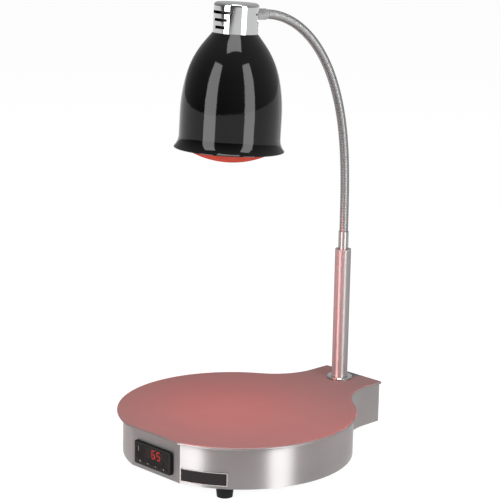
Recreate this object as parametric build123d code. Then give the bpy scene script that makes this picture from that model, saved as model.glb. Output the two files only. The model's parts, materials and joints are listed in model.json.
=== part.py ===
from build123d import *
import math
import os

# Heated serving station with one lamp. Millimetres, +Z up, front (controller) towards -Y, post at +Y.
# It is drawn about the centre of the round plate and moved at the end, so that the origin is
# the middle of the footprint, at the surface that the feet stand on.

# Plate outline, seen from above
PLATE_R = 180.0
FACET_Y = 171.3
TAIL_Y = 262.0
TAIL_HALF = 60.0
WAIST_R = 90.0
TAIL_CORNER_R = 4.0

# Wall outline under it, set back a little from the plate's
WALL_R = 173.2
WALL_MIDDLE_Y = 2.8
WALL_FACET_Y = 162.7
WALL_TAIL_Y = 257.5
WALL_TAIL_HALF = 57.5
WALL_WAIST_R = 95.0

# Base sheet metal
FOOT_H = 18.0
BASE_H = 64.7
SHEET_T = 1.2
HEM_T = 3.6
HEM_W = 2.0
PLATE_EDGE_R = 1.6
WALL_T = 1.0
TOP_FLANGE_W = 8.0
COVER_GAP = 0.5
COVER_T = 1.2
CUT_L = 4.0
VENT_SIZE = (34.0, 4.0)
VENT_PITCH = 12.0
VENT_ROWS = 6
VENT_X = 45.0

# Feet, their screws and the pillars they screw into
FOOT_R = 12.5
FOOT_TOE_R = 11.5
FOOT_PITCH_R = 150.0
FOOT_ANGLE = 39.5
FOOT_RECESS = (5.0, 9.0)
SCREW_R = 2.5
SCREW_HEAD = (4.4, 3.2)
SCREW_REACH = 14.0
PILLAR_FLATS = 10.0
PILLAR_BORE = (2.6, 20.0)

# Heater under the plate
HEATER_R = 118.0
HEATER_T = 2.5
PAD_T = 12.0
CLAMP_R = 132.0
CLAMP_T = 1.0
STUD_RING_R = 126.0
STUD_R = 2.0
STUD_L = 22.0
STUD_COUNT = 4
STUD_NUT = (7.0, 3.2)
PROBE_R = 4.0
PROBE_L = 24.0
PROBE_HOLE_R = 8.0
CUTOUT_X = 55.0
CUTOUT_BODY = (8.0, 9.0)
CUTOUT_EARS = (30.0, 10.0, 1.0)

# Controller in the front facet
CONTROL_X = -4.0
CONTROL_Z = -39.9
BEZEL = (78.0, 35.0)
BEZEL_R = 3.0
BEZEL_T = 4.0
BEZEL_FACE_T = 2.5
BEZEL_CHAMFER = 0.8
CASE = (71.0, 30.0)
CASE_DEPTH = 52.0
CASE_T = 1.0
CASE_GAP = 0.3
WINDOW = (70.0, 22.0)
WINDOW_T = 1.2
WINDOW_Z = 3.0
WINDOW_GAP = 0.15
MODULE = (46.0, 14.0)
BOARD = (67.0, 26.0)
MODULE_X = 7.0
MODULE_Z = 4.5
MODULE_DEPTH = 12.0
DIGITS = "65"
DIGIT = (7.5, 13.0)
DIGIT_X = 7.0
DIGIT_PITCH = 11.0
SEGMENT = (1.3, 0.3)
KEYS = ("key_power", "key_down", "key_up", "key_set")
KEY = (14.0, 3.6)
KEY_PITCH = 17.0
KEY_Z = -11.4
KEY_PROUD = 0.7
KEY_GAP = 0.3
KEY_FLANGE = (15.4, 4.6, 1.2)
FLANGE_GAP = 0.1
CLIP = (4.0, 12.0, 14.0)

# Bare badge plate, bent round the wall
BADGE_ANGLES = (17.6, 40.9)
BADGE_Z = (-60.5, -40.5)
BADGE_T = 0.8

# Mains side
TERMINAL = (54.0, 20.0, 18.0)
TERMINAL_Y = 180.0
TERMINAL_WAYS = 5
EARTH_PLACE = (38.0, 212.0)
EARTH_STUD_L = 16.0
GLAND_Z = 28.0
GLAND_R = 8.0
GLAND_BORE_R = 4.5
GLAND_HEX = (19.0, 5.0)
GLAND_TAIL = 12.0
GLAND_DOME = ((9.3, 0.0), (9.3, 8.4), (8.0, 11.8), (6.0, 13.9))
GLAND_NUT = (19.0, 4.5)

# Post
POST_Y = 226.3
POST_R = 12.5
POST_BORE_R = 11.0
POST_TOP = 210.5
POST_WEB = 12.0
FLANGE_R = 20.0
FLANGE_H = 4.5
FLANGE_CHAMFER = 1.6
NIPPLE_R = 5.0
NIPPLE_BORE_R = 3.6
NIPPLE_UP = 11.0
NIPPLE_DOWN = 16.0
POST_NUT = (17.0, 6.0)
BACKING = (70.0, 38.0, 3.0)
BUSH_RIM = 1.5
BUSH_L = 26.0
BUSH_STEP = 18.0
GRUB_R = 2.0
GRUB_DROP = 9.0
TURNING_FIT = 0.05

# Neck: a ribbed tube, straight at its foot, whose heading then grows by a power law
SLEEVE_R = 8.0
SLEEVE_TOP = 238.7
SLEEVE_CHAMFER = 0.5
NECK_FOOT = 233.9
NECK_LENGTH = 440.3
NECK_STRAIGHT = 0.0374
NECK_POWER = 2.0
NECK_PARTS = 11
NECK_RIBS = 16
NECK_BORE_R = 4.5
RIB_R = 7.0
GROOVE_R = 6.2
RIB_STEPS = ((0.22, GROOVE_R), (0.36, RIB_R), (0.64, RIB_R), (0.78, GROOVE_R))
BORE_STEPS = 4
HINGE_EVERY = 2
LEAD_R = 3.0
LEAD_BEND_R = 18.0
LEAD_Z = 30.0

# Lamp, along its own axis, from the middle of the shade's rim upwards
LAMP_TILT = 3.1
SHADE_H = 166.2
SHADE_T = 1.2
SHADE_TOP_R = 32.6
SHADE_HOLE_R = 19.0
SHADE_TOP_SLOPE = (0.62, -0.78)
SHADE_BELL = ((50.2, 143.0), (64.1, 114.0), (70.9, 84.0))
SHADE_BODY_R = 73.5
SHADE_BODY_Z = 45.0
FLARE_Z = 18.0
LIP_R = 80.0
LIP_T = 1.0
CAP_R = 32.5
CAP_H = 43.2
CAP_T = 1.2
CAP_ROUND = 5.0
SLOT_H = 4.2
SLOT_DROPS = (13.8, 24.4, 34.8)
SLOT_GROUPS = ((0.0, (37.0, 23.0, 17.5)), (133.0, (28.0, 20.0, 14.0)), (-133.0, (28.0, 20.0, 14.0)))
FERRULE_R = 8.2
FERRULE_L = 26.3
FERRULE_Z = 192.7
FERRULE_BORE_R = 3.6
SPIGOT_R = 5.0
SPIGOT_IN = 25.0
FERRULE_NUT = (17.0, 4.0)
HOLDER_FOOT_R = 18.5
HOLDER_FOOT_Z = 139.0
HOLDER_HEAD_R = 23.5
HOLDER_TOP_Z = 198.0
HOLDER_CHAMFER = 2.0
HOLDER_BOSS_R = 8.0
SOCKET_R = 14.3
SOCKET_TOP_Z = 163.4
CONTACT = (5.0, 1.2)
TONGUE = (4.0, 0.7, 16.0)
RING_R = 23.0
RING_H = 6.0
BULB_R = 62.5
BULB_DROP = 18.5
BULB_BELT_H = 8.0
DOME_R = 60.0
DOME_SAG = 15.0
BULB_SIDE = ((54.5, 56.0), (36.0, 96.0))
BULB_NECK = (19.0, 122.0)
BULB_NECK_SLOPE = (-0.35, 0.94)
BULB_END = (13.3, 135.0)
GLASS_T = 1.0
SCREW_CAP_R = 13.2
SCREW_CAP_TOP = 158.0
THREAD_DEPTH = 0.8
THREAD_TURNS = 6
SCREW_CAP_BORE_R = 11.0
TIP = (4.6, 162.2, 1.0)
STEM = (4.0, 92.0)
FILAMENT_R = 14.0
FILAMENT_Z = 62.0
WIRE_R = 0.6

# Levels and places worked out from the above
PLATE_TOP = FOOT_H + BASE_H
PLATE_UNDER = PLATE_TOP - SHEET_T
COVER_TOP = FOOT_H + COVER_T
PLATE_LINE = (PLATE_R, 0.0, FACET_Y, TAIL_HALF, TAIL_Y, WAIST_R)
WALL_LINE = (WALL_R, WALL_MIDDLE_Y, WALL_FACET_Y, WALL_TAIL_HALF, WALL_TAIL_Y, WALL_WAIST_R)
WALL_FACE_Y = -WALL_FACET_Y
CONTROL_FRONT = WALL_FACE_Y - BEZEL_T
CONTROL_LEVEL = PLATE_TOP + CONTROL_Z
GLAND_END_Y = WALL_TAIL_Y + GLAND_HEX[1] + GLAND_DOME[-1][1]
MIDDLE_Y = (GLAND_END_Y - FACET_Y) / 2
CLAMP_TOP = PLATE_UNDER - HEATER_T - PAD_T
SHADE_UNDER = SHADE_H - SHADE_T
NECK_PART_L = NECK_LENGTH / NECK_PARTS
NECK_END_HEADING = 90.0 - LAMP_TILT
BOTTOM = (Align.CENTER, Align.CENTER, Align.MIN)


# Shapes used by several pieces

def outline(line, inset=0.0):
    """A keyhole outline drawn in by the inset: a disc with a flat front, concave waists and a tail."""
    disc_r, middle_y, facet_y, tail_half, tail_y, hollow_r = line
    middle = Vector(0, middle_y)
    waist_x = tail_half + hollow_r
    to_waist = Vector(waist_x, math.sqrt((disc_r + hollow_r) ** 2 - waist_x ** 2))
    r = disc_r - inset
    front = facet_y - inset
    half_front = math.sqrt(r * r - (front + middle_y) ** 2)
    half_tail = tail_half - inset
    back = tail_y - inset
    waist = middle + to_waist
    on_disc = middle + to_waist.normalized() * r
    on_tail = Vector(half_tail, waist.Y)
    waist_mid = waist + (Vector(-1, 0) - to_waist.normalized()).normalized() * (hollow_r + inset)
    side = [
        ThreePointArc((half_front, -front), (r, middle_y), on_disc),
        ThreePointArc(on_disc, waist_mid, on_tail),
        Line(on_tail, (half_tail, back)),
    ]
    ends = [Line((half_tail, back), (-half_tail, back)), Line((-half_front, -front), (half_front, -front))]
    return make_face(side + ends + [edge.mirror(Plane.YZ) for edge in side])


def rod(r, height, x=0.0, y=0.0, z=0.0):
    return Pos(x, y, z) * Cylinder(r, height, align=BOTTOM)


def block(size, x=0.0, y=0.0, z=0.0):
    return Pos(x, y, z) * Box(*size, align=BOTTOM)


def hexagon(flats, height, bore_r):
    prism = extrude(RegularPolygon(flats / 2, 6, major_radius=False), height)
    return prism - rod(bore_r, height)


def turned(*edges):
    """A solid of revolution about Z from edges drawn as (radius, height)."""
    return revolve(Plane.XZ * make_face(edges), Axis.Z)


def turned_points(*points):
    return revolve(Plane.XZ * make_face(Polyline(*points, close=True)), Axis.Z)


def front_panel(width, height, r, depth, x=0.0, z=0.0, face_y=0.0):
    """A rounded upright plate whose front face is at face_y and which runs back by depth."""
    plane = Plane(origin=(x, face_y, z), x_dir=(1, 0, 0), z_dir=(0, 1, 0))
    shape = RectangleRounded(width, height, r) if r else Rectangle(width, height)
    return extrude(plane * shape, depth)


def ring_places(r, angle):
    x = r * math.sin(math.radians(angle))
    y = r * math.cos(math.radians(angle))
    return {
        "front_left": (-x, -y),
        "front_right": (x, -y),
        "rear_left": (-x, y),
        "rear_right": (x, y),
    }


FOOT_PLACES = ring_places(FOOT_PITCH_R, FOOT_ANGLE)
STUD_PLACES = [Vector(STUD_RING_R, 0).rotate(Axis.Z, 360 * (n + 0.5) / STUD_COUNT) for n in range(STUD_COUNT)]


# Base shell

def make_top_plate():
    low = PLATE_TOP - HEM_T
    shape = outline(PLATE_LINE)
    shape = fillet(shape.vertices().group_by(Axis.Y)[-1], TAIL_CORNER_R)
    plate = Pos(0, 0, low) * extrude(shape, HEM_T)
    faces = plate.faces().sort_by(Axis.Z)
    plate = fillet(faces[0].edges() + faces[-1].edges(), PLATE_EDGE_R)
    plate -= Pos(0, 0, low) * extrude(outline(PLATE_LINE, HEM_W), HEM_T - SHEET_T)
    plate -= rod(NIPPLE_R + COVER_GAP, HEM_T, y=POST_Y, z=low)
    for place in STUD_PLACES:
        plate += rod(STUD_R, STUD_L, place.X, place.Y, PLATE_UNDER - STUD_L)
    return plate


def make_skirt():
    height = PLATE_UNDER - FOOT_H
    inside = outline(WALL_LINE, WALL_T)
    skirt = Pos(0, 0, FOOT_H) * (extrude(outline(WALL_LINE), height) - extrude(inside, height))
    flange = inside - outline(WALL_LINE, WALL_T + TOP_FLANGE_W)
    skirt += Pos(0, 0, PLATE_UNDER - WALL_T) * extrude(flange, WALL_T)
    opening = [size + 2 * CASE_GAP for size in CASE]
    skirt -= front_panel(*opening, 0, CUT_L, CONTROL_X, CONTROL_LEVEL, WALL_FACE_Y - WALL_T)
    bore = gland_place(WALL_TAIL_Y - CUT_L / 2)
    return skirt - bore * rod(GLAND_R + CASE_GAP, CUT_L)


def make_bottom_plate():
    cover = Pos(0, 0, FOOT_H) * extrude(outline(WALL_LINE, WALL_T + COVER_GAP), COVER_T)
    for x, y in FOOT_PLACES.values():
        cover -= rod(SCREW_R + COVER_GAP, COVER_T, x, y, FOOT_H)
    vent = Pos(0, 0, FOOT_H) * extrude(SlotOverall(*VENT_SIZE), COVER_T)
    for side in (-1, 1):
        for row in range(VENT_ROWS):
            cover -= Pos(side * VENT_X, (row - (VENT_ROWS - 1) / 2) * VENT_PITCH, 0) * vent
    return cover


def make_foot(place):
    hole_r = SCREW_R + COVER_GAP
    recess_r, recess_h = FOOT_RECESS
    foot = turned_points(
        (recess_r, 0), (FOOT_TOE_R, 0), (FOOT_R, FOOT_H / 2), (FOOT_R, FOOT_H),
        (hole_r, FOOT_H), (hole_r, recess_h), (recess_r, recess_h),
    )
    return Pos(*place, 0) * foot


def make_foot_screw():
    head_r, head_h = SCREW_HEAD
    seat = FOOT_RECESS[1]
    screw = rod(head_r, head_h, z=seat - head_h) + rod(SCREW_R, COVER_TOP + SCREW_REACH - seat, z=seat)
    return screw - rod(head_r / 2, head_h / 2, z=seat - head_h)


def make_pillar():
    bore_r, bore_l = PILLAR_BORE
    pillar = hexagon(PILLAR_FLATS, PLATE_UNDER - COVER_TOP, bore_r)
    return Pos(0, 0, COVER_TOP) * (pillar + rod(bore_r, PLATE_UNDER - COVER_TOP - bore_l, z=bore_l))


# Heater stack under the plate

def make_heater_disc(r, thickness, top, hole_r):
    return rod(r, thickness, z=top - thickness) - rod(hole_r, thickness, z=top - thickness)


def make_clamp_plate():
    plate = make_heater_disc(CLAMP_R, CLAMP_T, CLAMP_TOP, PROBE_HOLE_R)
    for place in STUD_PLACES:
        plate -= rod(STUD_R + COVER_GAP, CLAMP_T, place.X, place.Y, CLAMP_TOP - CLAMP_T)
    return plate


def make_stud_nut(place):
    flats, height = STUD_NUT
    return Pos(place.X, place.Y, CLAMP_TOP - CLAMP_T - height) * hexagon(flats, height, STUD_R + TURNING_FIT)


def make_probe():
    probe = rod(PROBE_R, PROBE_L, z=PLATE_UNDER - PROBE_L)
    return fillet(probe.faces().sort_by(Axis.Z)[0].edges(), PROBE_R / 2)


def make_thermal_cutout():
    body_r, body_h = CUTOUT_BODY
    under = CLAMP_TOP - CLAMP_T
    ears = block(CUTOUT_EARS, CUTOUT_X, 0, under - CUTOUT_EARS[2])
    return ears + rod(body_r, body_h, CUTOUT_X, 0, under - body_h)


# Controller in the front facet

KEY_XS = [(n - (len(KEYS) - 1) / 2) * KEY_PITCH for n in range(len(KEYS))]


def control_panel(size, r, depth, back=0.0, x=0.0, z=0.0):
    """An upright plate placed from the middle of the controller's front face, set back into it."""
    return front_panel(*size, r, depth, CONTROL_X + x, CONTROL_LEVEL + z, CONTROL_FRONT + back)


def make_controller_case():
    bezel = control_panel(BEZEL, BEZEL_R, BEZEL_T)
    bezel = chamfer(bezel.faces().sort_by(Axis.Y)[0].edges(), BEZEL_CHAMFER)
    case = bezel + control_panel(CASE, 0, CASE_DEPTH, back=BEZEL_T)
    hollow = [size - 2 * CASE_T for size in CASE]
    case -= control_panel(hollow, 0, CASE_DEPTH + BEZEL_T, back=BEZEL_FACE_T)
    case -= control_panel(WINDOW, 0, WINDOW_T, z=WINDOW_Z)
    module_hole = [size + 2 * KEY_GAP for size in MODULE]
    case -= control_panel(module_hole, 0, BEZEL_FACE_T, x=MODULE_X, z=MODULE_Z)
    key_hole = [size + 2 * KEY_GAP for size in KEY]
    for x in KEY_XS:
        case -= control_panel(key_hole, 0, BEZEL_FACE_T, x=x, z=KEY_Z)
    return case


def make_controller_window():
    size = [side - 2 * WINDOW_GAP for side in WINDOW]
    return control_panel(size, 0, WINDOW_T, z=WINDOW_Z)


def make_display_module():
    back = WINDOW_T + SEGMENT[1]
    module = control_panel(MODULE, 0, MODULE_DEPTH, back=back, x=MODULE_X, z=MODULE_Z)
    return module + control_panel(BOARD, 0, WALL_T, back=back + MODULE_DEPTH)


def make_display_digits():
    """Seven-segment figures: bars a to g, lit as each figure needs."""
    width, height = DIGIT
    stroke, depth = SEGMENT
    flat = (width - 2 * stroke, stroke)
    tall = (stroke, (height - 3 * stroke) / 2)
    side = (width - stroke) / 2
    rise = (height - stroke) / 2
    bars = {
        "a": (flat, 0, rise), "g": (flat, 0, 0), "d": (flat, 0, -rise),
        "f": (tall, -side, rise / 2), "b": (tall, side, rise / 2),
        "e": (tall, -side, -rise / 2), "c": (tall, side, -rise / 2),
    }
    lit = {"5": "afgcd", "6": "afgcde"}
    solids = []
    for place, figure in enumerate(DIGITS):
        x = DIGIT_X + (place - (len(DIGITS) - 1) / 2) * DIGIT_PITCH
        for name in lit[figure]:
            size, dx, dz = bars[name]
            solids.append(control_panel(size, 0, depth, back=WINDOW_T, x=x + dx, z=MODULE_Z + dz))
    return Compound(solids)


def make_key(x):
    length, height, thickness = KEY_FLANGE
    stem = KEY_PROUD + BEZEL_FACE_T + FLANGE_GAP
    key = control_panel(KEY, 0, stem, back=-KEY_PROUD, x=x, z=KEY_Z)
    return key + control_panel((length, height), 0, thickness, back=BEZEL_FACE_T + FLANGE_GAP, x=x, z=KEY_Z)


def make_controller_clips():
    width, depth, height = CLIP
    y = WALL_FACE_Y + WALL_T
    clips = []
    for side in (-1, 1):
        x = CONTROL_X + side * (CASE[0] + width) / 2
        clips.append(Pos(x, y + depth / 2, CONTROL_LEVEL) * Box(width, depth, height))
    return Compound(clips)


def make_badge_plate():
    low, high = (PLATE_TOP + level for level in BADGE_Z)
    first, last = BADGE_ANGLES
    strip = Plane.XZ * make_face(Polyline(
        (WALL_R, low), (WALL_R + BADGE_T, low), (WALL_R + BADGE_T, high), (WALL_R, high), close=True))
    return Pos(0, WALL_MIDDLE_Y, 0) * Rot(0, 0, first - 90) * revolve(strip, Axis.Z, last - first)


# Mains side

def make_terminal_block():
    length, width, height = TERMINAL
    terminal = block(TERMINAL, 0, TERMINAL_Y, COVER_TOP)
    pitch = length / TERMINAL_WAYS
    for way in range(TERMINAL_WAYS):
        x = (way - (TERMINAL_WAYS - 1) / 2) * pitch
        for y in (-width / 4, width / 4):
            terminal -= rod(pitch / 4, height / 2, x, TERMINAL_Y + y, COVER_TOP + height / 2)
    return terminal


def make_earth_stud():
    x, y = EARTH_PLACE
    flats, height = STUD_NUT
    stud = rod(STUD_R, EARTH_STUD_L, x, y, COVER_TOP)
    return stud + Pos(x, y, COVER_TOP) * hexagon(flats, height, STUD_R)


def gland_place(y):
    return Plane(origin=(0, y, FOOT_H + GLAND_Z), x_dir=(1, 0, 0), z_dir=(0, 1, 0))


def make_gland_body():
    flats, height = GLAND_HEX
    tail = gland_place(WALL_TAIL_Y - GLAND_TAIL) * (rod(GLAND_R, GLAND_TAIL) - rod(GLAND_BORE_R, GLAND_TAIL))
    return tail + gland_place(WALL_TAIL_Y) * hexagon(flats, height, GLAND_BORE_R)


def make_gland_dome_nut():
    length = GLAND_DOME[-1][1]
    dome = turned_points((GLAND_BORE_R, 0), *GLAND_DOME, (GLAND_BORE_R, length))
    return gland_place(WALL_TAIL_Y + GLAND_HEX[1]) * dome


def make_gland_lock_nut():
    flats, height = GLAND_NUT
    return gland_place(WALL_TAIL_Y - WALL_T - height) * hexagon(flats, height, GLAND_R + TURNING_FIT)


# Post

def post_rod(r, height, z):
    return rod(r, height, y=POST_Y, z=z)


def grub_hole(r, length, inner):
    plane = Plane(origin=(0, POST_Y + inner, PLATE_TOP + POST_TOP - GRUB_DROP), z_dir=(0, 1, 0))
    return extrude(plane * Circle(r), length)


def make_post_tube():
    height = POST_TOP - BUSH_RIM
    tube = post_rod(POST_R, height, PLATE_TOP)
    tube -= post_rod(POST_BORE_R, height - POST_WEB, PLATE_TOP + POST_WEB)
    tube -= post_rod(NIPPLE_R + TURNING_FIT, POST_WEB, PLATE_TOP)
    return tube - grub_hole(GRUB_R + TURNING_FIT, POST_R, SLEEVE_R)


def make_post_flange():
    bore_r = POST_R + TURNING_FIT
    ring = turned_points(
        (bore_r, 0), (FLANGE_R, 0), (FLANGE_R, FLANGE_H - FLANGE_CHAMFER),
        (FLANGE_R - FLANGE_CHAMFER, FLANGE_H), (bore_r, FLANGE_H),
    )
    return Pos(0, POST_Y, PLATE_TOP) * ring


def make_post_nipple():
    low = PLATE_UNDER - NIPPLE_DOWN
    height = PLATE_TOP + NIPPLE_UP - low
    return post_rod(NIPPLE_R, height, low) - post_rod(NIPPLE_BORE_R, height, low)


def make_post_nut():
    flats, height = POST_NUT
    return Pos(0, POST_Y, PLATE_UNDER - BACKING[2] - height) * hexagon(flats, height, NIPPLE_R + TURNING_FIT)


def make_backing_plate():
    low = PLATE_UNDER - BACKING[2]
    return block(BACKING, 0, POST_Y, low) - post_rod(NIPPLE_R + COVER_GAP, BACKING[2], low)


def make_post_bush():
    rim = PLATE_TOP + POST_TOP - BUSH_RIM
    bush = post_rod(POST_BORE_R - TURNING_FIT, BUSH_L, rim - BUSH_L) + post_rod(POST_R, BUSH_RIM, rim)
    bush -= post_rod(SLEEVE_R + TURNING_FIT, BUSH_STEP + BUSH_RIM, rim - BUSH_STEP)
    bush -= post_rod(NECK_BORE_R, BUSH_L, rim - BUSH_L)
    return bush - grub_hole(GRUB_R + TURNING_FIT, POST_R, SLEEVE_R)


def make_grub_screw():
    grub = grub_hole(GRUB_R, POST_R - SLEEVE_R, SLEEVE_R)
    return grub - grub_hole(GRUB_R / 2, POST_R, SLEEVE_R + POST_R / 4)


def make_neck_sleeve():
    low = PLATE_TOP + POST_TOP - BUSH_RIM - BUSH_STEP
    height = PLATE_TOP + SLEEVE_TOP - low
    sleeve = post_rod(SLEEVE_R, height, low)
    sleeve = chamfer(sleeve.faces().sort_by(Axis.Z)[-1].edges(), SLEEVE_CHAMFER)
    sleeve -= post_rod(RIB_R + TURNING_FIT, SLEEVE_TOP - NECK_FOOT, PLATE_TOP + NECK_FOOT)
    return sleeve - post_rod(NECK_BORE_R, height, low)


# Neck

def heading(run):
    """Degrees from upright towards the front, at a fraction of the neck's length."""
    bent = max(run - NECK_STRAIGHT, 0.0) / (1.0 - NECK_STRAIGHT)
    return NECK_END_HEADING * bent ** NECK_POWER


def arc_step(start, part, share):
    """The point and heading at a share of one neck part, each part being one arc."""
    first = math.radians(heading(part / NECK_PARTS))
    last = math.radians(heading((part + 1) / NECK_PARTS))
    half = (last - first) * share / 2
    chord = NECK_PART_L * share * (math.sin(half) / half if half else 1.0)
    middle = first + half
    y = start[0] - chord * math.sin(middle)
    z = start[1] + chord * math.cos(middle)
    return y, z, first + 2 * half


def neck_starts():
    starts = [(POST_Y, PLATE_TOP + NECK_FOOT)]
    for part in range(NECK_PARTS):
        starts.append(arc_step(starts[-1], part, 1.0)[:2])
    return starts


NECK_STARTS = neck_starts()


def neck_circle(part, share, r):
    """A circle square to the neck, its X axis always along the row's X."""
    y, z, turn = arc_step(NECK_STARTS[part], part, share)
    plane = Plane(origin=(0, y, z), x_dir=(1, 0, 0), z_dir=(0, -math.sin(turn), math.cos(turn)))
    return plane * Circle(r)


def is_hinge(boundary):
    return 0 < boundary < NECK_PARTS and boundary % HINGE_EVERY == 0


def make_neck_part(part):
    """One length of ribs; at a hinge it stops at a rib, elsewhere it meets the next length in a groove."""
    circles = []
    for rib in range(NECK_RIBS):
        circles += [neck_circle(part, (rib + step) / NECK_RIBS, r) for step, r in RIB_STEPS]
    if is_hinge(part):
        circles.pop(0)
    else:
        circles.insert(0, neck_circle(part, 0.0, GROOVE_R))
    if is_hinge(part + 1):
        circles.pop()
    else:
        circles.append(neck_circle(part, 1.0, GROOVE_R))
    bore = [neck_circle(part, step / BORE_STEPS, NECK_BORE_R) for step in range(BORE_STEPS + 1)]
    return loft(circles, ruled=True) - loft(bore, ruled=True)


# Lamp: drawn upright about its own axis, then tilted and set on the neck's end

def lamp_location():
    tilt = math.radians(LAMP_TILT)
    end_y, end_z = NECK_STARTS[-1]
    out = CAP_R + FERRULE_L
    y = end_y - out * math.cos(tilt) - FERRULE_Z * math.sin(tilt)
    z = end_z - FERRULE_Z * math.cos(tilt) + out * math.sin(tilt)
    return Location((0, y, z), (-LAMP_TILT, 0, 0))


LAMP = lamp_location()


def shade_side(inset):
    """The shade's side from its top edge down to its lip, drawn in by the inset."""
    top = (SHADE_TOP_R - inset, SHADE_H - inset)
    bell = [(r - inset, z) for r, z in SHADE_BELL]
    body = (SHADE_BODY_R - inset, SHADE_BODY_Z)
    flare = (SHADE_BODY_R - inset, FLARE_Z)
    lip = (LIP_R - inset, LIP_T if inset == 0 else 0)
    return [
        Spline(top, *bell, body, tangents=(SHADE_TOP_SLOPE, (0, -1))),
        Line(body, flare),
        TangentArc(flare, lip, tangent=(0, -1)),
    ]


def make_shade():
    return turned(
        Line((SHADE_HOLE_R, SHADE_H), (SHADE_TOP_R, SHADE_H)),
        *shade_side(0),
        Polyline((LIP_R, LIP_T), (LIP_R, 0), (LIP_R - SHADE_T, 0)),
        *shade_side(SHADE_T),
        Polyline(
            (SHADE_TOP_R - SHADE_T, SHADE_UNDER), (SHADE_HOLE_R, SHADE_UNDER), (SHADE_HOLE_R, SHADE_H)),
    )


def cap_side(inset):
    r = CAP_R - inset
    top = SHADE_H + CAP_H - inset
    shoulder = CAP_R - CAP_ROUND
    return [
        Line((r, SHADE_H), (r, SHADE_H + CAP_H - CAP_ROUND)),
        RadiusArc((r, SHADE_H + CAP_H - CAP_ROUND), (shoulder, top), -(CAP_ROUND - inset)),
        Line((shoulder, top), (0, top)),
    ]


def make_lamp_cap():
    top = SHADE_H + CAP_H
    cap = turned(
        *cap_side(0), Line((0, top), (0, top - CAP_T)), *cap_side(CAP_T),
        Line((CAP_R, SHADE_H), (CAP_R - CAP_T, SHADE_H)),
    )
    for middle, half_widths in SLOT_GROUPS:
        for drop, half in zip(SLOT_DROPS, half_widths):
            band = Pos(CAP_R, 0, top - drop) * (Plane.XZ * Rectangle(CUT_L, SLOT_H))
            cap -= Rot(0, 0, middle - half - 90) * revolve(band, Axis.Z, 2 * half)
    return cap - ferrule_rod(SPIGOT_R + CASE_GAP, SPIGOT_IN, CAP_R)


def ferrule_rod(r, start, end):
    plane = Plane(origin=(0, start, FERRULE_Z), x_dir=(1, 0, 0), z_dir=(0, 1, 0))
    return extrude(plane * Circle(r), end - start)


def make_neck_ferrule():
    end = CAP_R + FERRULE_L
    collar = ferrule_rod(FERRULE_R, SPIGOT_IN, end)
    collar = chamfer(collar.faces().sort_by(Axis.Y)[-1].edges(), FERRULE_R - RIB_R)
    collar -= rod(CAP_R, SHADE_H + CAP_H)
    ferrule = collar + ferrule_rod(SPIGOT_R, SPIGOT_IN, CAP_R + FERRULE_R / 2)
    return ferrule - ferrule_rod(FERRULE_BORE_R, SPIGOT_IN, end)


def make_ferrule_nut():
    flats, height = FERRULE_NUT
    plane = Plane(origin=(0, SPIGOT_IN + TURNING_FIT, FERRULE_Z), x_dir=(1, 0, 0), z_dir=(0, 1, 0))
    return plane * hexagon(flats, height, SPIGOT_R + TURNING_FIT)


def make_lampholder():
    return turned_points(
        (SOCKET_R, HOLDER_FOOT_Z), (HOLDER_FOOT_R, HOLDER_FOOT_Z), (HOLDER_FOOT_R, SHADE_H),
        (HOLDER_HEAD_R, SHADE_H), (HOLDER_HEAD_R, HOLDER_TOP_Z - HOLDER_CHAMFER),
        (HOLDER_HEAD_R - HOLDER_CHAMFER, HOLDER_TOP_Z),
        (HOLDER_BOSS_R, HOLDER_TOP_Z), (HOLDER_BOSS_R, SHADE_H + CAP_H - CAP_T),
        (0, SHADE_H + CAP_H - CAP_T), (0, SOCKET_TOP_Z), (SOCKET_R, SOCKET_TOP_Z),
    )


def make_lampholder_contacts():
    r, thickness = CONTACT
    width, depth, length = TONGUE
    tongue = block((depth, width, length), SOCKET_R - depth / 2 - CASE_GAP, 0, SOCKET_TOP_Z - length)
    return Compound([rod(r, thickness, z=SOCKET_TOP_Z - thickness), tongue])


def make_shade_ring():
    low = SHADE_UNDER - RING_H
    return rod(RING_R, RING_H, z=low) - rod(HOLDER_FOOT_R + TURNING_FIT, RING_H, z=low)


def bulb_side(inset):
    """The bulb's outside from the middle of its dome up to its neck, drawn in by the inset."""
    sphere_r = (DOME_R ** 2 + DOME_SAG ** 2) / (2 * DOME_SAG)
    half_r = DOME_R / 2
    half_z = sphere_r - math.sqrt(sphere_r ** 2 - half_r ** 2)
    edge = (DOME_R - inset, DOME_SAG - BULB_DROP)
    waist = (BULB_R - inset, DOME_SAG - BULB_DROP + BULB_BELT_H)
    bowl = [(r - inset, z) for r, z in BULB_SIDE]
    neck = (BULB_NECK[0] - inset, BULB_NECK[1])
    return [
        ThreePointArc((0, inset - BULB_DROP), (half_r, half_z + inset - BULB_DROP), edge),
        TangentArc(waist, edge, tangent=(0, -1)),
        Spline(waist, *bowl, neck, tangents=((0, 1), BULB_NECK_SLOPE)),
        Line(neck, (BULB_END[0] - inset, BULB_END[1])),
    ]


def make_bulb_glass():
    end_r, end_z = BULB_END
    return turned(
        *bulb_side(0), *bulb_side(GLASS_T),
        Line((0, -BULB_DROP), (0, GLASS_T - BULB_DROP)),
        Line((end_r, end_z), (end_r - GLASS_T, end_z)),
    )


def make_bulb_base():
    low = BULB_END[1]
    pitch = (SCREW_CAP_TOP - low) / THREAD_TURNS
    thread = [(SCREW_CAP_BORE_R, low)]
    for turn in range(THREAD_TURNS):
        thread.append((SCREW_CAP_R - THREAD_DEPTH, low + turn * pitch))
        thread.append((SCREW_CAP_R, low + (turn + 0.5) * pitch))
    thread.append((SCREW_CAP_R - THREAD_DEPTH, SCREW_CAP_TOP))
    tip_r, tip_z, tip_h = TIP
    crown_z = SCREW_CAP_TOP - GLASS_T
    thread += [(tip_r, tip_z - tip_h), (tip_r, tip_z), (0, tip_z), (0, crown_z), (SCREW_CAP_BORE_R, crown_z)]
    return turned_points(*thread)


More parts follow.
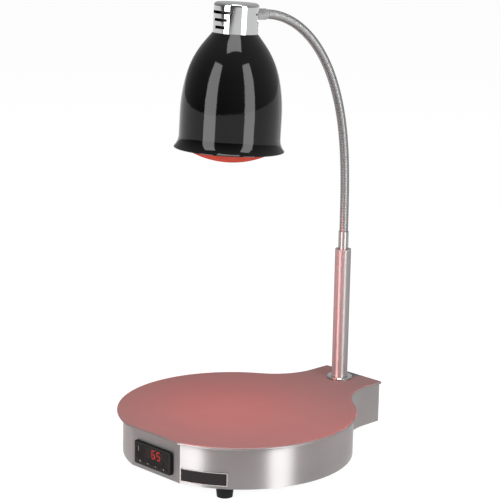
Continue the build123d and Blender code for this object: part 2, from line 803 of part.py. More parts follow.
def make_bulb_filament():
    stem_r, stem_low = STEM
    stem = rod(stem_r, SCREW_CAP_TOP - GLASS_T - stem_low, z=stem_low)
    filament = Pos(0, 0, FILAMENT_Z) * Torus(FILAMENT_R, WIRE_R)
    for side in (-1, 1):
        foot = Vector(side * stem_r / 2, 0, stem_low + stem_r)
        tip = Vector(side * FILAMENT_R, 0, FILAMENT_Z)
        wire = Plane(origin=foot, z_dir=tip - foot) * Circle(WIRE_R)
        filament += extrude(wire, (tip - foot).length)
    return filament + stem


# Lead from the terminal block up through the post and the neck to the lampholder

def make_lamp_lead():
    start = Vector(0, TERMINAL_Y + TERMINAL[1] / 2, LEAD_Z)
    bend = Vector(0, POST_Y - LEAD_BEND_R, LEAD_Z)
    rise = Vector(0, POST_Y, LEAD_Z + LEAD_BEND_R)
    foot = Vector(0, *NECK_STARTS[0])
    run = [Line(start, bend), TangentArc(bend, rise, tangent=(0, 1, 0)), Line(rise, foot)]
    for part in range(NECK_PARTS):
        middle = Vector(0, *arc_step(NECK_STARTS[part], part, 0.5)[:2])
        run.append(ThreePointArc(Vector(0, *NECK_STARTS[part]), middle, Vector(0, *NECK_STARTS[part + 1])))
    holder = (LAMP * Pos(0, HOLDER_HEAD_R, FERRULE_Z)).position
    run.append(Line(Vector(0, *NECK_STARTS[-1]), holder))
    return sweep(Plane(origin=start, z_dir=(0, 1, 0)) * Circle(LEAD_R), path=Wire(run))


# Every piece by name, written as one file each

base_pieces = {
    "top_plate": make_top_plate(),
    "skirt": make_skirt(),
    "bottom_plate": make_bottom_plate(),
    "foot_screws": Compound([Pos(*place, 0) * make_foot_screw() for place in FOOT_PLACES.values()]),
    "tie_pillars": Compound([Pos(*place, 0) * make_pillar() for place in FOOT_PLACES.values()]),
    "heater_mat": make_heater_disc(HEATER_R, HEATER_T, PLATE_UNDER, PROBE_HOLE_R),
    "insulation_pad": make_heater_disc(HEATER_R, PAD_T, PLATE_UNDER - HEATER_T, PROBE_HOLE_R),
    "heater_clamp_plate": make_clamp_plate(),
    "heater_nuts": Compound([make_stud_nut(place) for place in STUD_PLACES]),
    "temperature_probe": make_probe(),
    "thermal_cutout": make_thermal_cutout(),
    "controller_case": make_controller_case(),
    "controller_window": make_controller_window(),
    "display_module": make_display_module(),
    "display_digits": make_display_digits(),
    "controller_clips": make_controller_clips(),
    "badge_plate": make_badge_plate(),
    "terminal_block": make_terminal_block(),
    "earth_stud": make_earth_stud(),
    "gland_body": make_gland_body(),
    "gland_dome_nut": make_gland_dome_nut(),
    "gland_lock_nut": make_gland_lock_nut(),
    "post_tube": make_post_tube(),
    "post_flange": make_post_flange(),
    "post_nipple": make_post_nipple(),
    "post_nut": make_post_nut(),
    "post_backing_plate": make_backing_plate(),
    "post_bush": make_post_bush(),
    "post_grub_screw": make_grub_screw(),
    "neck_sleeve": make_neck_sleeve(),
    "lamp_lead": make_lamp_lead(),
}
base_pieces |= {f"foot_{name}": make_foot(place) for name, place in FOOT_PLACES.items()}
base_pieces |= {name: make_key(x) for name, x in zip(KEYS, KEY_XS)}
base_pieces |= {f"neck_{part + 1:02d}": make_neck_part(part) for part in range(NECK_PARTS)}

lamp_pieces = {
    "neck_ferrule": make_neck_ferrule(),
    "ferrule_nut": make_ferrule_nut(),
    "lamp_cap": make_lamp_cap(),
    "lampholder": make_lampholder(),
    "lampholder_contacts": make_lampholder_contacts(),
    "shade": make_shade(),
    "shade_ring": make_shade_ring(),
    "bulb_glass": make_bulb_glass(),
    "bulb_base": make_bulb_base(),
    "bulb_filament": make_bulb_filament(),
}

os.makedirs("parts", exist_ok=True)
to_middle = Location((0, -MIDDLE_Y, 0))
for name, piece in base_pieces.items():
    export_step(to_middle * piece, f"parts/{name}.step")
for name, piece in lamp_pieces.items():
    export_step(to_middle * LAMP * piece, f"parts/{name}.step")
print(len(base_pieces) + len(lamp_pieces), "pieces, middle of the footprint at y", round(MIDDLE_Y, 2))
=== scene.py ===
import json
import math

import bmesh
import bpy
from mathutils import Matrix, Vector


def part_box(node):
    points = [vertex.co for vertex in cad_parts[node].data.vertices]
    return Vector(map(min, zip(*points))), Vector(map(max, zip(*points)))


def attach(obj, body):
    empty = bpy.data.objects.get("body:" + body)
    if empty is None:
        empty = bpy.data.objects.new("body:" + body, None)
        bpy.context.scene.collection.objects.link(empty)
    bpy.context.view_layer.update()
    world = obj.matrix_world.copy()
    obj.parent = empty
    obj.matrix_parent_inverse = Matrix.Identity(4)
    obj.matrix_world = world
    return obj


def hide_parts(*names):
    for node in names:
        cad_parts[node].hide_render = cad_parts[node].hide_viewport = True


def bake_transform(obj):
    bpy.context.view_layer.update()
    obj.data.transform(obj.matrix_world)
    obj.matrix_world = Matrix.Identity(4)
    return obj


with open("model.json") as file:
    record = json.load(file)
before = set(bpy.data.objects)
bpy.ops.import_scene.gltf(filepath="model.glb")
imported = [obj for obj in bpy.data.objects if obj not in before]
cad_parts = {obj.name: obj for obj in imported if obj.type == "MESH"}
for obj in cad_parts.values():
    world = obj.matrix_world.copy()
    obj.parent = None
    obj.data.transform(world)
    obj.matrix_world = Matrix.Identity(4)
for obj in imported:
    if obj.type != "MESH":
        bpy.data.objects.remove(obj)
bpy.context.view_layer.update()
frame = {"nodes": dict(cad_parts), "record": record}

# Heated serving station with one lamp: finishes, neck, small marks, light and camera.
# Metres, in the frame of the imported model: +Z up, controller towards -Y, post at +Y.

UP = Vector((0.0, 0.0, 1.0))

# Camera, at the photograph's viewing angle
CAMERA_PLACE = Vector((1.7861, -1.8052, 0.9216))
CAMERA_AZIMUTH = math.radians(45.198)
CAMERA_PITCH = math.radians(13.382)
CAMERA_ROLL = math.radians(1.022)
CAMERA_LENS = 126.0
CAMERA_SENSOR = 36.0

# Studio: upright soft boxes by bearing from the camera, one soft box overhead, and the room
BOX_DISTANCE = 2.4
BOX_HEIGHT = 2.7
BOX_MIDDLE_Z = 1.4
BOX_BRIGHTNESS = 6.5
UPRIGHT_BOXES = {"left_box": (-46.5, 1.15), "right_box": (40.8, 1.0)}
TOP_BOX_PLACE = (0.66, 2.4)
TOP_BOX_SIZE = (1.15, 0.5)
ROOM_BEARING = 150.0
ROOM_RISE = math.radians(50.0)
ROOM_TURN = (-0.6, 1.0)
ROOM_LEVELS = (0.02, 0.6)
FLOOR_SIZE = 60.0
FLOOR_COLOUR = (0.22, 0.22, 0.22)
FLOOR_WHITE = 0.88
GLOW_COLOUR = (1.0, 0.06, 0.04)
GLOW_POWER = 2.4
GLOW_SIZE = 0.11
GLOW_DROP = 0.003
GLOW_SPREAD = math.radians(138.0)

# Neck: wound ribs on a line, straight at its foot, whose heading grows by a power law;
# one arc for each CAD part
NECK_LENGTH = 0.4403
NECK_STRAIGHT = 0.0374
NECK_POWER = 2.0
NECK_END_HEADING = math.radians(86.9)
SLEEVE_LAP = 0.0048
NECK_PARTS = 11
RIBS_PER_PART = 16
RIB_STEPS = 6
RIB_R = 0.007
GROOVE_R = 0.0062
RIB_ROUNDNESS = 0.6
ROUND_STEPS = 24
NECK_BODIES = ("base", "neck_link_1", "neck_link_2", "neck_link_3", "neck_link_4", "head")

# Lead inside the base and the post
LEAD_R = 0.003
LEAD_BEND_R = 0.018
LEAD_Z = 0.030
LEAD_TURNS = 8

# Marks on the badge and the controller
WALL_MIDDLE_Y = -0.04975
BADGE_R = 0.174
BADGE_ANGLES = (math.radians(17.6), math.radians(40.9))
BADGE_BORDER = 0.0011
BADGE_BORDER_LIFT = 0.0002
BADGE_STEPS = 14
MARK_R = 0.0011
MARK_LIFT = 0.00006
KEY_MARKS = {"key_power": (24, 0.0), "key_down": (3, -90.0), "key_up": (3, 90.0), "key_set": (4, 45.0)}
SCALE_LINE = (0.0006, 0.008)
SCALE_LINE_INSET = (0.005, 0.003)

# Lamp axis, through the middle of the cap; the cap's outer skin lies this far from the core of its rounded
# form, and its inside, which is painted with shade, starts just below
LAMP_TILT = math.radians(3.1)
LAMP_AXIS = Vector((0.0, math.sin(LAMP_TILT), math.cos(LAMP_TILT)))
LAMP_MIDDLE = sum(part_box("lamp_cap"), Vector()) / 2
CAP_CORE_R = 0.0275
CAP_CORE_Z = 0.0166
CAP_SKIN = 0.0048
CAP_SKIN_T = 0.00005
BULB_R = 0.0625

# Finishes: main colours, the grain's lines a metre along each axis, and how round edges look
STEEL = (0.43, 0.422, 0.418)
CHROME = (0.55, 0.556, 0.554)
CHROME_ROUGHNESS = 0.05
# Painted shade for the inside of the lamp cap and its slots
INSIDE_SHADE = (0.003, 0.003, 0.003)
# Painted shade: how much darker the plate's top is painted than the same steel on its hem
PLATE_TOP_SHADE = 0.56
LEVEL_GRAIN = (16.0, 16.0, 2400.0)
PLATE_GRAIN = (16.0, 2400.0, 16.0)
WIPING_GRAIN = (60.0, 60.0, 18.0)
SCRATCH_GRAIN = (700.0, 60.0, 40.0)
SHEET_EDGE_R = 0.0006
EDGE_R = 0.0004
EDGE_SAMPLES = 4


# Shader nodes

class Nodes:
    """A node tree being built up."""

    def __init__(self, tree):
        self.tree = tree

    def put(self, socket, value):
        """Links an output to an input, or sets the input."""
        if isinstance(value, bpy.types.NodeSocket):
            self.tree.links.new(value, socket)
        else:
            socket.default_value = value

    def fill(self, node, sockets):
        """Links or sets a node's inputs, named with _ for a space."""
        for name, value in sockets.items():
            self.put(node.inputs[name.replace("_", " ")], value)

    def add(self, kind, **sockets):
        node = self.tree.nodes.new("ShaderNode" + kind)
        self.fill(node, sockets)
        return node

    def compute(self, kind, operation, *values):
        """The outputs of a Math or VectorMath node."""
        node = self.add(kind)
        node.operation = operation
        for socket, value in zip(node.inputs, values):
            self.put(socket, value)
        return node.outputs

    def range(self, factor, low, high, ends=(0.3, 0.7)):
        """From low to high while a factor goes from one end to the other."""
        start, stop = ends
        spread = self.add("MapRange", Value=factor, From_Min=start, From_Max=stop, To_Min=low, To_Max=high)
        return spread.outputs["Result"]


class Finish(Nodes):
    """A material's Principled shader, varied by noise in the object's own coordinates."""

    def __init__(self, name, colour, roughness, **sockets):
        self.material = bpy.data.materials.new(name)
        self.material.use_nodes = True
        super().__init__(self.material.node_tree)
        self.shader = self.tree.nodes["Principled BSDF"]
        self.feed(Base_Color=(*colour, 1.0), Roughness=roughness, **sockets)

    def feed(self, **sockets):
        self.fill(self.shader, sockets)

    def mix(self, factor, low, high):
        return self.range(factor, low, high, ends=(0.0, 1.0))

    def vector(self, operation, *values):
        return self.compute("VectorMath", operation, *values)

    def noise(self, per_metre, detail=3.0):
        """Noise with its own number of spots a metre along each axis."""
        place = self.add("TexCoord").outputs["Object"]
        stretched = self.add("Mapping", Vector=place, Scale=per_metre).outputs["Vector"]
        return self.add("TexNoise", Vector=stretched, Scale=1.0, Detail=detail).outputs["Fac"]

    def beyond(self, value, limit):
        """How far a length in metres goes past a limit, or 0."""
        return self.range(value, 0.0, 1.0, ends=(limit, limit + 1.0))

    def on_lamp(self):
        """Distance from the lamp's axis, and height along it from the middle of the cap."""
        place = self.add("TexCoord").outputs["Object"]
        out = self.vector("SUBTRACT", place, LAMP_MIDDLE)["Vector"]
        away = self.vector("LENGTH", self.vector("CROSS_PRODUCT", out, LAMP_AXIS)["Vector"])["Value"]
        return away, self.vector("DOT_PRODUCT", out, LAMP_AXIS)["Value"]

    def upright(self):
        """1 on upright faces and 0 on those that face up."""
        normal = self.add("TexCoord").outputs["Normal"]
        return self.range(self.vector("DOT_PRODUCT", normal, UP)["Value"], 1.0, 0.0)

    def tint(self, factor, dark, light, ends=(0.3, 0.7)):
        ramp = self.add("ValToRGB", Fac=factor)
        for stop, place, colour in zip(ramp.color_ramp.elements, ends, (dark, light)):
            stop.position = place
            stop.color = (*colour, 1.0)
        return ramp.outputs["Color"]

    def relief(self, height, depth, edge_r=0.0):
        """Small bumps of a depth in metres, over edges that look rounded by a radius."""
        bump = self.add("Bump", Height=height, Distance=depth, Strength=1.0)
        if edge_r:
            edge = self.add("Bevel", Radius=edge_r)
            edge.samples = EDGE_SAMPLES
            self.fill(bump, {"Normal": edge.outputs["Normal"]})
        self.feed(Normal=bump.outputs["Normal"])


# Finishes

def even(count):
    return (count, count, count)


def shade(colour, factor):
    return tuple(min(1.0, part * factor) for part in colour)


def brushed(name, colour, roughness, grain, spread, **sockets):
    """Steel with a straight grain, whose highlights stretch across the grain."""
    steel = Finish(name, colour, roughness, **sockets)
    lines = steel.noise(grain, detail=5.0)
    clouds = steel.noise(even(14.0))
    steel.feed(Base_Color=steel.tint(lines, shade(colour, 0.95), shade(colour, 1.04)))
    streaks = steel.range(lines, -0.03, 0.03)
    worn = steel.range(clouds, roughness - 0.03, roughness + 0.04)
    steel.feed(Roughness=steel.compute("Math", "ADD", streaks, worn)["Value"])
    steel.feed(Tangent=steel.add("CombineXYZ", X=spread[0], Y=spread[1], Z=spread[2]).outputs["Vector"])
    steel.relief(lines, 0.0000005, SHEET_EDGE_R)
    return steel


def hemmed(name, colour, roughness, grain):
    """Brushed steel, duller on top, where it is painted darker as shade, and as bright as the wall on the
    upright face of the hem.
    """
    steel = brushed(name, shade(colour, PLATE_TOP_SHADE), roughness, grain, (0.0, 1.0, 0.0), Anisotropic=1.0,
                    Specular_IOR_Level=0.1)
    hem = steel.upright()
    top_colour = steel.shader.inputs["Base Color"].links[0].from_socket
    # Painted shade: the top keeps the darker colour, the hem's upright face gets the full steel colour
    brighter = steel.mix(hem, 1.0, 1.0 / PLATE_TOP_SHADE)
    steel.feed(Base_Color=steel.vector("MULTIPLY", top_colour, brighter)["Vector"])
    steel.feed(Metallic=steel.mix(hem, 0.5, 1.0), Specular_Tint=steel.mix(hem, 0.4, 1.0))
    steel.feed(Tangent=steel.add("CombineXYZ", Y=steel.mix(hem, 1.0, 0.0), Z=hem).outputs["Vector"])
    return steel


def polished(name, colour, roughness):
    """Plated or polished metal with faint wiping marks."""
    metal = Finish(name, colour, roughness, Metallic=1.0)
    wiped = metal.noise(WIPING_GRAIN)
    metal.feed(Base_Color=metal.tint(wiped, shade(colour, 0.95), colour))
    metal.feed(Roughness=metal.range(wiped, roughness * 0.7, roughness * 1.5))
    metal.relief(metal.noise(even(220.0)), 0.000002, EDGE_R)
    return metal


def shaded_inside(name, colour, roughness):
    """Polished metal outside, with painted shade: black inside the cap and in its slots."""
    metal = polished(name, colour, roughness)
    away, height = metal.on_lamp()
    out = metal.add("CombineXYZ", X=metal.beyond(away, CAP_CORE_R), Y=metal.beyond(height, CAP_CORE_Z))
    depth = metal.vector("LENGTH", out.outputs["Vector"])["Value"]
    outside = metal.range(depth, 0.0, 1.0, ends=(CAP_SKIN - CAP_SKIN_T, CAP_SKIN))
    # Painted shade: black inside the cap, polished metal on its outer skin
    metal.feed(Base_Color=metal.tint(outside, INSIDE_SHADE, colour, ends=(0.0, 1.0)))
    metal.feed(Metallic=outside, Specular_IOR_Level=0.1)
    return metal


def moulded(name, colour, roughness, texture=900.0, depth=0.000015, **sockets):
    """Plastic, rubber or fired clay with a fine skin, paler where it is handled."""
    skin = Finish(name, colour, roughness, **sockets)
    handled = skin.noise(even(45.0))
    skin.feed(Base_Color=skin.tint(handled, shade(colour, 0.85), shade(colour, 1.2)))
    skin.feed(Roughness=skin.range(handled, roughness - 0.06, roughness + 0.08))
    skin.relief(skin.noise(even(texture)), depth, EDGE_R)
    return skin


def enamelled(name, colour, roughness):
    """Stoved gloss enamel: nearly smooth, with a slight orange peel and faint dust."""
    coat = Finish(name, colour, roughness, Specular_IOR_Level=0.3)
    dust = coat.noise(even(30.0))
    coat.feed(Base_Color=coat.tint(dust, colour, shade(colour, 1.6)))
    coat.feed(Roughness=coat.range(dust, roughness * 0.8, roughness * 1.4))
    coat.relief(coat.noise(even(160.0)), 0.000003, EDGE_R)
    return coat


def lacquered_bulb(name, colour, roughness):
    """Red lacquered glass that glows from inside, brightest in the middle of its face."""
    glass = Finish(name, colour, roughness, Specular_IOR_Level=0.0)
    cloud = glass.noise(even(26.0))
    glass.feed(Base_Color=glass.tint(cloud, shade(colour, 0.8), shade(colour, 1.15)))
    glass.feed(Emission_Color=glass.tint(cloud, (0.44, 0.1, 0.07), (0.54, 0.13, 0.09)))
    glass.feed(Emission_Strength=glass.range(glass.on_lamp()[0], 0.75, 0.45, ends=(0.0, BULB_R)))
    glass.feed(Roughness=glass.range(cloud, roughness * 0.8, roughness * 1.3))
    glass.relief(glass.noise(even(90.0)), 0.000003)
    return glass


def smoked(name, colour, roughness):
    """Dark see-through plastic with fine scratches."""
    pane = Finish(name, colour, roughness, Transmission_Weight=1.0, IOR=1.25)
    scratch = pane.noise(SCRATCH_GRAIN)
    pane.feed(Base_Color=pane.tint(scratch, shade(colour, 0.9), shade(colour, 1.1)))
    pane.feed(Roughness=pane.range(scratch, roughness * 0.6, roughness * 1.6))
    pane.relief(scratch, 0.000001)
    return pane


def lit(name, colour, strength):
    """A lit display segment, a little uneven along its length."""
    lamp = Finish(name, shade(colour, 0.3), 0.4, Emission_Strength=strength)
    uneven = lamp.noise(even(400.0))
    lamp.feed(Emission_Color=lamp.tint(uneven, shade(colour, 0.75), colour))
    lamp.feed(Roughness=lamp.range(uneven, 0.35, 0.5))
    return lamp


def ribbed(name, colour, roughness):
    """Wound steel with painted shade in the grooves, which the mesh marks by its rib attribute."""
    steel = Finish(name, colour, roughness, Metallic=1.0)
    marked = steel.add("Attribute")
    marked.attribute_name = "rib"
    rubbed = steel.noise(even(120.0))
    # Painted shade: the grooves darker than the backs of the ribs
    steel.feed(Base_Color=steel.tint(marked.outputs["Fac"], shade(colour, 0.45), colour, ends=(0.0, 0.8)))
    steel.feed(Roughness=steel.range(rubbed, roughness - 0.05, roughness + 0.08))
    steel.relief(rubbed, 0.00001)
    return steel


finishes = {
    "brushed_stainless": brushed("upright_steel", STEEL, 0.42, LEVEL_GRAIN, UP, Metallic=1.0,
                                 Anisotropic=1.0),
    "chrome": polished("chrome", CHROME, CHROME_ROUGHNESS),
    "satin_steel": polished("satin_steel", (0.42, 0.42, 0.42), 0.45),
    "neck_steel": ribbed("neck_steel", (0.33, 0.33, 0.33), 0.36),
    "black_enamel": enamelled("black_enamel", (0.002, 0.002, 0.0022), 0.06),
    "red_glass": lacquered_bulb("red_glass", (0.5, 0.03, 0.02), 0.08),
    "brass": polished("brass", (0.72, 0.52, 0.24), 0.22),
    "porcelain": moulded("porcelain", (0.02, 0.019, 0.018), 0.2, texture=120.0, depth=0.00001),
    "tungsten": polished("tungsten", (0.4, 0.38, 0.36), 0.35),
    "black_rubber": moulded("black_rubber", (0.008, 0.008, 0.0085), 0.62, texture=1400.0, depth=0.00004,
                            Specular_IOR_Level=0.2),
    "black_plastic": moulded("black_plastic", (0.006, 0.006, 0.006), 0.36, Specular_IOR_Level=0.2),
    "key_plastic": moulded("key_plastic", (0.009, 0.009, 0.0095), 0.42, Specular_IOR_Level=0.2),
    "smoked_window": smoked("smoked_window", (0.2, 0.19, 0.19), 0.06),
    "red_led": lit("red_led", (0.9, 0.02, 0.02), 2.5),
    "board_green": moulded("board_green", (0.006, 0.007, 0.006), 0.5, Specular_IOR_Level=0.2),
    "badge_black": enamelled("badge_black", (0.006, 0.006, 0.007), 0.16),
    "zinc_steel": polished("zinc_steel", (0.56, 0.57, 0.58), 0.34),
    "silicone_mat": moulded("silicone_mat", (0.42, 0.11, 0.06), 0.6, texture=700.0, depth=0.00006),
    "ceramic_fibre": moulded("ceramic_fibre", (0.72, 0.71, 0.68), 0.85, texture=380.0, depth=0.0003),
    "white_plastic": moulded("white_plastic", (0.62, 0.61, 0.57), 0.45),
    "lead_sheath": moulded("lead_sheath", (0.1, 0.1, 0.1), 0.5),
}
plate_steel = hemmed("plate_steel", STEEL, 0.5, PLATE_GRAIN)
post_steel = brushed("post_steel", shade(STEEL, 0.85), 0.36, LEVEL_GRAIN, UP, Metallic=0.55, Anisotropic=1.0,
                     Specular_IOR_Level=0.3, Specular_Tint=(0.3, 0.3, 0.3, 1.0))
sleeve_steel = brushed("sleeve_steel", STEEL, 0.36, LEVEL_GRAIN, UP, Metallic=1.0, Anisotropic=1.0)
# Chrome with painted shade inside the cap
lamp_chrome = shaded_inside("lamp_chrome", CHROME, CHROME_ROUGHNESS)
print_white = moulded("print_white", (0.5, 0.5, 0.5), 0.5)


def finish_nodes():
    """Every CAD node takes its slot's finish, or its own where the grain differs or where shade is painted:
    on the plate's top and inside the lamp cap.
    """
    own = {"top_plate": plate_steel, "post_tube": post_steel, "neck_sleeve": sleeve_steel,
           "lamp_cap": lamp_chrome}
    for part in frame["record"]["subparts"]:
        mesh = frame["nodes"][part["node"]].data
        mesh.materials.clear()
        mesh.materials.append(own.get(part["node"], finishes[part["material_slot"]]).material)


finish_nodes()


# Meshes

def new_piece(name, bm, finish, body=None):
    """A piece of the object from a finished bmesh, riding on a body when one is given."""
    bmesh.ops.recalc_face_normals(bm, faces=bm.faces)
    mesh = bpy.data.meshes.new(name)
    bm.to_mesh(mesh)
    bm.free()
    mesh.materials.append(finish.material)
    piece = bpy.data.objects.new(name, mesh)
    bpy.context.scene.collection.objects.link(piece)
    if body:
        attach(piece, body)
    return piece


def close_ends(bm):
    """Caps every open edge loop; the caps are flat shaded, with sharp edges."""
    rims = [edge for edge in bm.edges if edge.is_boundary]
    for face in bmesh.ops.holes_fill(bm, edges=rims, sides=0)["faces"]:
        face.smooth = False
    for edge in rims:
        edge.smooth = False


def around(step, turn):
    """Direction at a step of the way round a circle that holds +X and is turned about it from level."""
    angle = 2 * math.pi * step / ROUND_STEPS
    return Vector((math.cos(angle), math.sin(angle) * math.cos(turn), math.sin(angle) * math.sin(turn)))


# Neck

NECK_PART_L = NECK_LENGTH / NECK_PARTS
RIB_PITCH = NECK_PART_L / RIBS_PER_PART
PART_ROWS = RIBS_PER_PART * RIB_STEPS
sleeve_low, sleeve_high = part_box("neck_sleeve")
NECK_FOOT = Vector((0.0, (sleeve_low.y + sleeve_high.y) / 2, sleeve_high.z - SLEEVE_LAP))


def heading(part):
    """Angle from upright towards the front where a neck part starts."""
    bent = max(part / NECK_PARTS - NECK_STRAIGHT, 0.0) / (1.0 - NECK_STRAIGHT)
    return NECK_END_HEADING * bent ** NECK_POWER


def arc_step(start, part, share):
    """The point and the heading at a share of one neck part."""
    half = (heading(part + 1) - heading(part)) * share / 2
    chord = NECK_PART_L * share * (math.sin(half) / half if half else 1.0)
    middle = heading(part) + half
    return start + chord * Vector((0.0, -math.sin(middle), math.cos(middle))), heading(part) + 2 * half


neck_starts = [NECK_FOOT]
for part in range(NECK_PARTS):
    neck_starts.append(arc_step(neck_starts[-1], part, 1.0)[0])


def neck_point(run):
    """The point and the heading at a length along the neck."""
    part = min(max(int(run / NECK_PART_L), 0), NECK_PARTS - 1)
    return arc_step(neck_starts[part], part, run / NECK_PART_L - part)


def rib_height(row):
    """0 in a groove and 1 on a rib: the round back of the wound wire."""
    return math.sin(math.pi * (row % RIB_STEPS) / RIB_STEPS) ** RIB_ROUNDNESS


def neck_length(name, first_row, last_row):
    """A wound length of neck: each row of points climbs one rib pitch in a turn."""
    bm = bmesh.new()
    rib = bm.verts.layers.float.new("rib")
    points = {}

    def point(row, step):
        if step == ROUND_STEPS:
            row, step = row + RIB_STEPS, 0
        if (row, step) not in points:
            middle, turn = neck_point(RIB_PITCH * (row / RIB_STEPS + step / ROUND_STEPS))
            height = rib_height(row)
            vert = bm.verts.new(middle + around(step, turn) * (GROOVE_R + (RIB_R - GROOVE_R) * height))
            vert[rib] = height
            points[row, step] = vert
        return points[row, step]

    for row in range(first_row, last_row):
        for step in range(ROUND_STEPS):
            corners = ((row, step), (row, step + 1), (row + 1, step + 1), (row + 1, step))
            bm.faces.new([point(*corner) for corner in corners]).smooth = True
    close_ends(bm)
    return new_piece(name, bm, finishes["neck_steel"])


def build_neck():
    """Lengths from the sleeve to the ferrule, cut between the hinges so that each spans one; only the foot
    rides on a body.
    """
    foot = neck_length("neck_length_0", -RIB_STEPS, PART_ROWS)
    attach(foot, "base")
    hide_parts("neck_01")
    for hinge, (body, after) in enumerate(zip(NECK_BODIES, NECK_BODIES[1:]), 1):
        part = 2 * hinge
        length = neck_length(f"neck_length_{hinge}", PART_ROWS * (part - 1), PART_ROWS * (part + 1))
        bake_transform(length)
        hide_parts(f"neck_{part:02d}", f"neck_{part + 1:02d}")


build_neck()


# Lead: only its run inside the base and the post, since the neck hides the rest

def build_lead():
    block_low, block_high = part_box("terminal_block")
    bend = Vector((0.0, NECK_FOOT.y - LEAD_BEND_R, LEAD_Z + LEAD_BEND_R))
    run = [(Vector((0.0, block_high.y, LEAD_Z)), 0.0)]
    for turn in range(LEAD_TURNS + 1):
        angle = math.pi / 2 * turn / LEAD_TURNS
        run.append((bend + LEAD_BEND_R * Vector((0.0, math.sin(angle), -math.cos(angle))), angle))
    run.append((NECK_FOOT, math.pi / 2))
    bm = bmesh.new()
    rings = []
    for middle, climb in run:
        ways = [around(step, climb + math.pi / 2) for step in range(ROUND_STEPS)]
        rings.append([bm.verts.new(middle + LEAD_R * way) for way in ways])
    for ring, after in zip(rings, rings[1:]):
        for step in range(ROUND_STEPS):
            side = (step + 1) % ROUND_STEPS
            bm.faces.new((ring[step], ring[side], after[side], after[step])).smooth = True
    close_ends(bm)
    lead = new_piece("lead_run", bm, finishes["lead_sheath"], "base")
    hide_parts("lamp_lead")


build_lead()


# Badge border: a fine raised frame round the bare plate, bent with it

def build_badge_border():
    low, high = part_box("badge_plate")
    disc = Vector((0.0, WALL_MIDDLE_Y, 0.0))
    first, last = BADGE_ANGLES
    margin = BADGE_BORDER / BADGE_R
    inner = last - first - 2 * margin
    angles = [first] + [first + margin + inner * n / BADGE_STEPS for n in range(BADGE_STEPS + 1)] + [last]
    levels = [low.z, low.z + BADGE_BORDER, high.z - BADGE_BORDER, high.z]
    bm = bmesh.new()
    grid = []
    for angle in angles:
        out = Vector((math.sin(angle), -math.cos(angle), 0.0)) * BADGE_R
        grid.append([bm.verts.new(disc + out + Vector((0.0, 0.0, level))) for level in levels])
    for column in range(len(angles) - 1):
        for row in range(len(levels) - 1):
            if row == 1 and 0 < column < len(angles) - 2:
                continue
            here, there = grid[column], grid[column + 1]
            bm.faces.new((here[row], there[row], there[row + 1], here[row + 1]))
    for vert in [vert for vert in bm.verts if not vert.link_faces]:
        bm.verts.remove(vert)
    bmesh.ops.recalc_face_normals(bm, faces=bm.faces)
    bmesh.ops.solidify(bm, geom=bm.faces[:], thickness=-BADGE_BORDER_LIFT)
    new_piece("badge_border", bm, finishes["chrome"], "base")


build_badge_border()


# Printed marks on the keys and the window, a hair proud of the face

def printed(name, outline, front, body):
    """A flat printed shape from (x, z) points, on a face at y = front."""
    bm = bmesh.new()
    bm.faces.new([bm.verts.new((x, front - MARK_LIFT, z)) for x, z in outline])
    raised = bmesh.ops.extrude_face_region(bm, geom=bm.faces[:])
    edge = [part for part in raised["geom"] if isinstance(part, bmesh.types.BMVert)]
    bmesh.ops.translate(bm, verts=edge, vec=(0.0, MARK_LIFT, 0.0))
    return new_piece(name, bm, print_white, body)


def build_marks():
    for key, (sides, turn) in KEY_MARKS.items():
        low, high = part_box(key)
        outline = []
        for side in range(sides):
            angle = math.radians(turn) + 2 * math.pi * side / sides
            outline.append(((low.x + high.x) / 2 + MARK_R * math.cos(angle),
                            (low.z + high.z) / 2 + MARK_R * math.sin(angle)))
        printed(f"{key}_mark", outline, low.y, key)
    low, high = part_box("controller_window")
    width, height = SCALE_LINE
    left = low.x + SCALE_LINE_INSET[0]
    top = high.z - SCALE_LINE_INSET[1]
    line = ((left, top), (left + width, top), (left + width, top - height), (left, top - height))
    printed("window_line", line, low.y, "base")


build_marks()


# Studio

def seen_rays(nodes, strength):
    """A strength for the rays that show a surface: straight, by a reflection or through glass."""
    path = nodes.add("LightPath").outputs
    seen = path["Is Camera Ray"]
    for name in ("Is Glossy Ray", "Is Transmission Ray"):
        seen = nodes.compute("Math", "MAXIMUM", seen, path[name])["Value"]
    return nodes.compute("Math", "MULTIPLY", seen, strength)["Value"]


def build_floor():
    """Matt and pale; the rays that show it add white, so that only the object's shadow stays on it."""
    bpy.ops.mesh.primitive_plane_add(size=FLOOR_SIZE)
    floor = bpy.context.object
    floor.name = "floor"
    material = bpy.data.materials.new("pale_floor")
    material.use_nodes = True
    nodes = Nodes(material.node_tree)
    nodes.tree.nodes.clear()
    both = nodes.add("AddShader")
    nodes.put(both.inputs[0], nodes.add("BsdfDiffuse", Color=(*FLOOR_COLOUR, 1.0)).outputs[0])
    nodes.put(both.inputs[1], nodes.add("Emission", Strength=seen_rays(nodes, FLOOR_WHITE)).outputs[0])
    nodes.add("OutputMaterial", Surface=both.outputs[0])
    floor.data.materials.append(material)


def towards(bearing):
    """Level direction from the object to a bearing, counted from the camera's to the right."""
    angle = CAMERA_AZIMUTH + math.radians(bearing)
    return Vector((math.sin(angle), -math.cos(angle), 0.0))


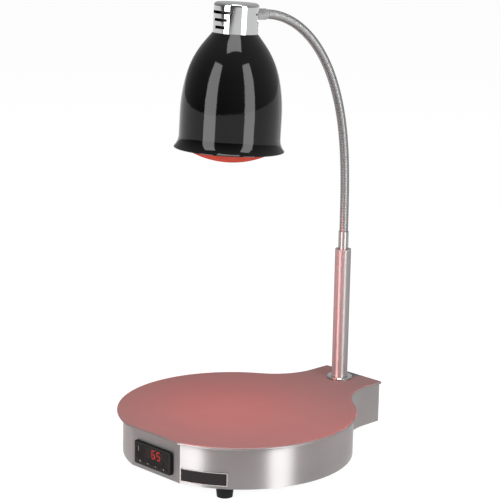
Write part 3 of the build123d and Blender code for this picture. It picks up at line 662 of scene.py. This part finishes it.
def build_room():
    """Soft light, brightest from above and behind and darkest from the camera's side."""
    world = bpy.data.worlds.new("studio")
    world.use_nodes = True
    nodes = Nodes(world.node_tree)
    brightest = towards(ROOM_BEARING) * math.cos(ROOM_RISE) + UP * math.sin(ROOM_RISE)
    way = nodes.add("TexCoord").outputs["Generated"]
    facing = nodes.compute("VectorMath", "DOT_PRODUCT", way, brightest)["Value"]
    level = nodes.range(facing, *ROOM_LEVELS, ends=ROOM_TURN)
    nodes.fill(nodes.tree.nodes["Background"], {"Color": (1.0, 1.0, 1.0, 1.0), "Strength": level})
    bpy.context.scene.world = world


def area_lamp(name, place, target, size, power):
    lamp = bpy.data.lights.new(name, "AREA")
    lamp.shape = "RECTANGLE"
    lamp.size, lamp.size_y = size
    lamp.energy = power
    item = bpy.data.objects.new(name, lamp)
    item.location = place
    item.rotation_euler = (Vector(target) - Vector(place)).to_track_quat("-Z", "Y").to_euler()
    item.visible_camera = False
    bpy.context.scene.collection.objects.link(item)
    return item


def box_power(size):
    return BOX_BRIGHTNESS * math.pi * size[0] * size[1]


def build_lights():
    middle = Vector((0.0, 0.0, BOX_MIDDLE_Z))
    for name, (bearing, width) in UPRIGHT_BOXES.items():
        size = (width, BOX_HEIGHT)
        area_lamp(name, middle + BOX_DISTANCE * towards(bearing), middle, size, box_power(size))
    out, up = TOP_BOX_PLACE
    low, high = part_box("shade")
    place = out * towards(0.0) + up * UP
    area_lamp("top_box", place, (low + high) / 2, TOP_BOX_SIZE, box_power(TOP_BOX_SIZE))
    low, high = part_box("bulb_glass")
    place = Vector(((low.x + high.x) / 2, (low.y + high.y) / 2, low.z - GLOW_DROP))
    glow = area_lamp("bulb_glow", place, place - UP, (GLOW_SIZE, GLOW_SIZE), GLOW_POWER)
    glow.data.shape = "DISK"
    glow.data.color = GLOW_COLOUR
    glow.data.spread = GLOW_SPREAD
    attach(glow, "head")


def build_camera():
    data = bpy.data.cameras.new("camera")
    data.lens = CAMERA_LENS
    data.sensor_width = CAMERA_SENSOR
    camera = bpy.data.objects.new("camera", data)
    aim = Matrix.Rotation(CAMERA_AZIMUTH, 4, "Z") @ Matrix.Rotation(math.pi / 2 - CAMERA_PITCH, 4, "X")
    camera.matrix_world = Matrix.Translation(CAMERA_PLACE) @ aim @ Matrix.Rotation(CAMERA_ROLL, 4, "Z")
    bpy.context.scene.collection.objects.link(camera)
    bpy.context.scene.camera = camera


build_floor()
build_room()
build_lights()
build_camera()
bpy.context.scene.view_settings.view_transform = "Standard"
